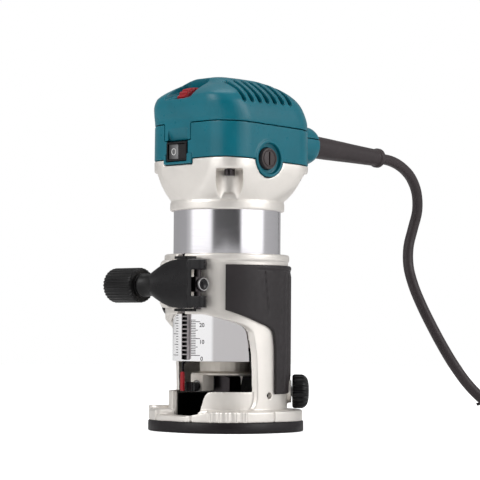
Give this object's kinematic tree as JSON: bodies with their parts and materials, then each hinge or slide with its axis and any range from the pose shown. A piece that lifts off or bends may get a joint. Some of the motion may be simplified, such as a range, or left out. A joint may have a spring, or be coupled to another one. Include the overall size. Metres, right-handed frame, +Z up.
{
  "type": "trim router",
  "caption": "Compact trim router: motor unit clamped in a cast base, with rack height adjustment, cam lock lever, rocker switch, speed dial and mains lead.",
  "frame": {"origin": "on the table, under the middle of the tool in plan, leaving out its mains lead; the spindle axis is at X 6.5 mm, Y -10.5 mm", "axes": "+Z up along the spindle, -Y towards the switch and the depth rack, +X towards the side with the lock lever's pivot"},
  "size_m": [0.1502, 0.4009, 0.2126],
  "materials": {
    "teal_plastic": "fine-grained moulded",
    "cast_aluminium": "satin, blasted",
    "brushed_tube": "turned bright",
    "steel": "turned",
    "black_plastic": "satin",
    "rubber": "soft, matte",
    "cord_sheath": "smooth, matte",
    "red_plastic": "satin",
    "copper": "turned",
    "brass": "drawn",
    "carbon": "matte",
    "circuit_board": "coated"
  },
  "bodies": {
    "base": {"sub_base": "black_plastic", "sub_base_screw_1": "steel", "sub_base_screw_2": "steel", "sub_base_screw_3": "steel", "sub_base_screw_4": "steel", "base_casting": "cast_aluminium", "rubber_grip": "rubber", "clamp_block": "black_plastic", "lever_pin_upper": "steel", "lever_pin_lower": "steel", "clamp_cover_upper": "black_plastic", "clamp_cover_lower": "black_plastic", "cord_coil": "cord_sheath", "plug_body": "black_plastic", "plug_pin_1": "steel", "plug_pin_2": "steel", "cord_tail": "cord_sheath"},
    "lock_lever": {"lock_lever": "black_plastic"},
    "height_adjuster": {"height_knob": "black_plastic", "pinion_shaft": "steel", "thrust_washer": "steel", "shaft_nut": "steel"},
    "guide_screw": {"guide_screw_knob": "black_plastic", "guide_screw_stud": "steel"},
    "motor_unit": {"motor_tube": "brushed_tube", "depth_rack": "black_plastic", "depth_pointer": "red_plastic", "bearing_box": "cast_aluminium", "lock_spring": "steel", "lower_bearing": "steel", "bearing_retainer": "steel", "stator": "steel", "upper_bearing": "steel", "bearing_bridge": "black_plastic", "motor_housing": "cast_aluminium", "mid_housing": "teal_plastic", "top_cover": "teal_plastic", "head_screw_1": "steel", "head_screw_2": "steel", "head_screw_3": "steel", "head_screw_4": "steel", "speed_board": "circuit_board", "switch_frame": "black_plastic", "brush_cap_right": "black_plastic", "brush_cap_left": "black_plastic", "brush_holder_right": "brass", "brush_holder_left": "brass", "carbon_brush_right": "carbon", "carbon_brush_left": "carbon", "cord_guard": "cord_sheath", "mains_cord": "cord_sheath"},
    "rotor": {"spindle_shaft": "steel", "collet": "steel", "collet_nut": "steel", "cooling_fan": "black_plastic", "armature_core": "steel", "commutator": "copper"},
    "switch_rocker": {"switch_rocker": "black_plastic"},
    "speed_dial": {"speed_dial": "red_plastic"},
    "shaft_lock_button": {"shaft_lock_button": "black_plastic"}
  },
  "joints": [
    {"name": "depth_slide", "type": "slide", "parent": "base", "child": "motor_unit", "axis": [0, 0, 1], "range_m": [-0.016, 0.019], "deforming": ["mains_cord"]},
    {"name": "knob_spin", "type": "hinge", "parent": "base", "child": "height_adjuster", "pos_m": [0.0065, -0.0503, 0.0875], "axis": [1, 0, 0], "range_deg": [-145, 172]},
    {"name": "lever_swing", "type": "hinge", "parent": "base", "child": "lock_lever", "pos_m": [0.024, -0.0503, 0.088], "axis": [0, 0, 1], "range_deg": [0, 100]},
    {"name": "guide_screw_spin", "type": "hinge", "parent": "base", "child": "guide_screw", "pos_m": [0.03378, 0.01875, 0.0239], "axis": [0.682, 0.7314, 0], "continuous": true},
    {"name": "rotor_spin", "type": "hinge", "parent": "motor_unit", "child": "rotor", "pos_m": [0.0065, -0.0105, 0.1], "axis": [0, 0, 1], "continuous": true},
    {"name": "switch_rock", "type": "hinge", "parent": "motor_unit", "child": "switch_rocker", "pos_m": [-0.0005, -0.041, 0.1676], "axis": [0, 0, -1], "range_deg": [0, 14]},
    {"name": "dial_turn", "type": "hinge", "parent": "motor_unit", "child": "speed_dial", "pos_m": [0.0015, -0.035, 0.196], "axis": [1, 0, 0], "range_deg": [-150, 120]},
    {"name": "button_press", "type": "slide", "parent": "motor_unit", "child": "shaft_lock_button", "axis": [0, 1, 0], "range_m": [0, 0.002], "stiffness_N_per_m": 600, "springref_m": -0.002}
  ],
  "couplings": [
    {"joint": "knob_spin", "follows": "depth_slide", "rad_per_m": 156.25}
  ]
}
